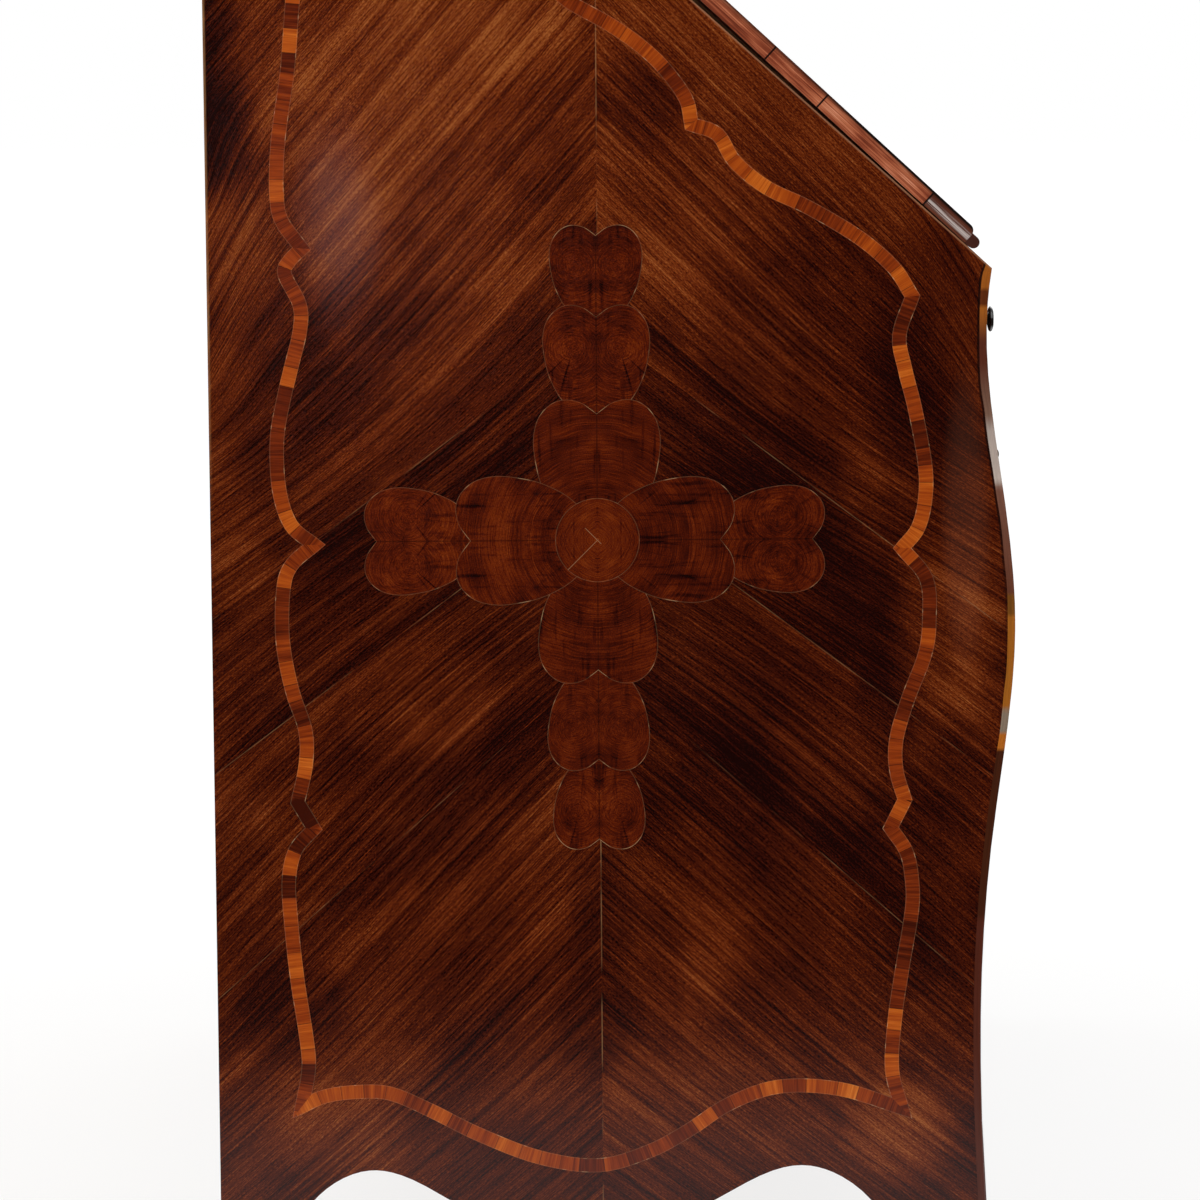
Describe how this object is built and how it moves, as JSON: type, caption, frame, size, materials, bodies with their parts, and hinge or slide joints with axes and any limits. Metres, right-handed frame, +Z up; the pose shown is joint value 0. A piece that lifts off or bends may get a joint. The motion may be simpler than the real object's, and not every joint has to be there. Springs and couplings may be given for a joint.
{
  "type": "fall-front desk",
  "caption": "Slant-front writing bureau with a hinged fall on pull-out lopers, a fitted interior, a frieze row and long drawers with a curved front on bracket feet.",
  "frame": {"origin": "on the floor, in the middle of the footprint", "axes": "+X across the desk to its proper left as seen from the front at the right hand, -Y towards the user, +Z up"},
  "size_m": [1.12, 0.5739, 1.03],
  "materials": {
    "side_veneer": "polished kingwood veneer laid in chevrons with a tulipwood band and a heart cross",
    "fall_veneer": "polished kingwood veneer with a tulipwood border",
    "top_veneer": "polished kingwood veneer with a tulipwood border",
    "front_veneer": "polished kingwood veneer quartered on the drawer fronts, tulipwood border",
    "crossbanding": "polished tulipwood cross-banding",
    "walnut": "waxed walnut",
    "pine": "bare aged softwood",
    "ebonised_wood": "ebonised, polished",
    "brass": "aged lacquered brass",
    "hinge_brass": "worn brass",
    "iron": "filed wrought iron"
  },
  "bodies": {
    "case": {"side_left": "side_veneer", "side_right": "side_veneer", "top_board": "top_veneer", "back_boards": "pine", "writing_board": "crossbanding", "frieze_board": "crossbanding", "bottom_board": "pine", "drawer_rails": "crossbanding", "drawer_runners": "pine", "loper_dividers": "crossbanding", "apron": "crossbanding", "foot_blocks": "pine", "pigeonhole_frame": "walnut", "pigeonhole_arches": "walnut", "board_hinge_leaves": "hinge_brass", "fall_hinge_pins": "iron"},
    "fall": {"fall_panel": "fall_veneer", "fall_bead": "ebonised_wood", "fall_lock": "iron", "fall_escutcheon": "brass", "fall_hinge_leaves": "hinge_brass"},
    "fall_bolt": {"fall_bolt": "iron"},
    "loper_left": {"loper_left": "crossbanding", "loper_knob_left": "ebonised_wood"},
    "loper_right": {"loper_right": "crossbanding", "loper_knob_right": "ebonised_wood"},
    "frieze_drawer_left": {"frieze_front_left": "front_veneer", "frieze_tray_left": "pine", "frieze_knob_left": "brass"},
    "frieze_drawer_right": {"frieze_front_right": "front_veneer", "frieze_tray_right": "pine", "frieze_knob_right": "brass"},
    "upper_drawer": {"upper_front": "front_veneer", "upper_tray": "pine", "upper_lock": "iron", "upper_escutcheon": "brass", "upper_handle_mounts": "brass"},
    "upper_bolt": {"upper_bolt": "iron"},
    "middle_drawer": {"middle_front": "front_veneer", "middle_tray": "pine", "middle_lock": "iron", "middle_escutcheon": "brass", "middle_handle_mounts": "brass"},
    "middle_bolt": {"middle_bolt": "iron"},
    "lower_drawer": {"lower_front": "front_veneer", "lower_tray": "pine", "lower_lock": "iron", "lower_escutcheon": "brass", "lower_handle_mounts": "brass"},
    "lower_bolt": {"lower_bolt": "iron"},
    "upper_bail_left": {"upper_bail_left": "brass"},
    "upper_bail_right": {"upper_bail_right": "brass"},
    "middle_bail_left": {"middle_bail_left": "brass"},
    "middle_bail_right": {"middle_bail_right": "brass"},
    "lower_bail_left": {"lower_bail_left": "brass"},
    "lower_bail_right": {"lower_bail_right": "brass"},
    "letter_drawer_left": {"letter_drawer_left": "walnut", "letter_knobs_left": "brass"},
    "letter_drawer_right": {"letter_drawer_right": "walnut", "letter_knobs_right": "brass"}
  },
  "joints": [
    {"name": "fall_hinge", "type": "hinge", "parent": "case", "child": "fall", "pos_m": [0, -0.25052, 0.75499], "axis": [1, 0, 0], "range_deg": [0, 137.3]},
    {"name": "fall_bolt_throw", "type": "slide", "parent": "fall", "child": "fall_bolt", "axis": [0, 0.7355, 0.6775], "range_m": [0, 0.008]},
    {"name": "loper_left_slide", "type": "slide", "parent": "case", "child": "loper_left", "axis": [0, -1, 0], "range_m": [0, 0.3]},
    {"name": "loper_right_slide", "type": "slide", "parent": "case", "child": "loper_right", "axis": [0, -1, 0], "range_m": [0, 0.3]},
    {"name": "frieze_drawer_left_slide", "type": "slide", "parent": "case", "child": "frieze_drawer_left", "axis": [0, -1, 0], "range_m": [0, 0.38]},
    {"name": "frieze_drawer_right_slide", "type": "slide", "parent": "case", "child": "frieze_drawer_right", "axis": [0, -1, 0], "range_m": [0, 0.38]},
    {"name": "upper_drawer_slide", "type": "slide", "parent": "case", "child": "upper_drawer", "axis": [0, -1, 0], "range_m": [0, 0.4]},
    {"name": "upper_bolt_throw", "type": "slide", "parent": "upper_drawer", "child": "upper_bolt", "axis": [0, 0, 1], "range_m": [0, 0.008]},
    {"name": "middle_drawer_slide", "type": "slide", "parent": "case", "child": "middle_drawer", "axis": [0, -1, 0], "range_m": [0, 0.4]},
    {"name": "middle_bolt_throw", "type": "slide", "parent": "middle_drawer", "child": "middle_bolt", "axis": [0, 0, 1], "range_m": [0, 0.008]},
    {"name": "lower_drawer_slide", "type": "slide", "parent": "case", "child": "lower_drawer", "axis": [0, -1, 0], "range_m": [0, 0.4]},
    {"name": "lower_bolt_throw", "type": "slide", "parent": "lower_drawer", "child": "lower_bolt", "axis": [0, 0, 1], "range_m": [0, 0.008]},
    {"name": "upper_bail_left_swing", "type": "hinge", "parent": "upper_drawer", "child": "upper_bail_left", "pos_m": [-0.25984, -0.27689, 0.60302], "axis": [-1, 0, 0], "range_deg": [-4, 100]},
    {"name": "upper_bail_right_swing", "type": "hinge", "parent": "upper_drawer", "child": "upper_bail_right", "pos_m": [0.25984, -0.27689, 0.60302], "axis": [-1, 0, 0], "range_deg": [-4, 100]},
    {"name": "middle_bail_left_swing", "type": "hinge", "parent": "middle_drawer", "child": "middle_bail_left", "pos_m": [-0.25984, -0.27969, 0.42397], "axis": [-1, 0, 0], "range_deg": [-10, 100]},
    {"name": "middle_bail_right_swing", "type": "hinge", "parent": "middle_drawer", "child": "middle_bail_right", "pos_m": [0.25984, -0.27969, 0.42397], "axis": [-1, 0, 0], "range_deg": [-10, 100]},
    {"name": "lower_bail_left_swing", "type": "hinge", "parent": "lower_drawer", "child": "lower_bail_left", "pos_m": [-0.25984, -0.26264, 0.23445], "axis": [-1, 0, 0], "range_deg": [-10, 100]},
    {"name": "lower_bail_right_swing", "type": "hinge", "parent": "lower_drawer", "child": "lower_bail_right", "pos_m": [0.25984, -0.26264, 0.23445], "axis": [-1, 0, 0], "range_deg": [-10, 100]},
    {"name": "letter_drawer_left_slide", "type": "slide", "parent": "case", "child": "letter_drawer_left", "axis": [0, -1, 0], "range_m": [0, 0.18]},
    {"name": "letter_drawer_right_slide", "type": "slide", "parent": "case", "child": "letter_drawer_right", "axis": [0, -1, 0], "range_m": [0, 0.18]}
  ]
}
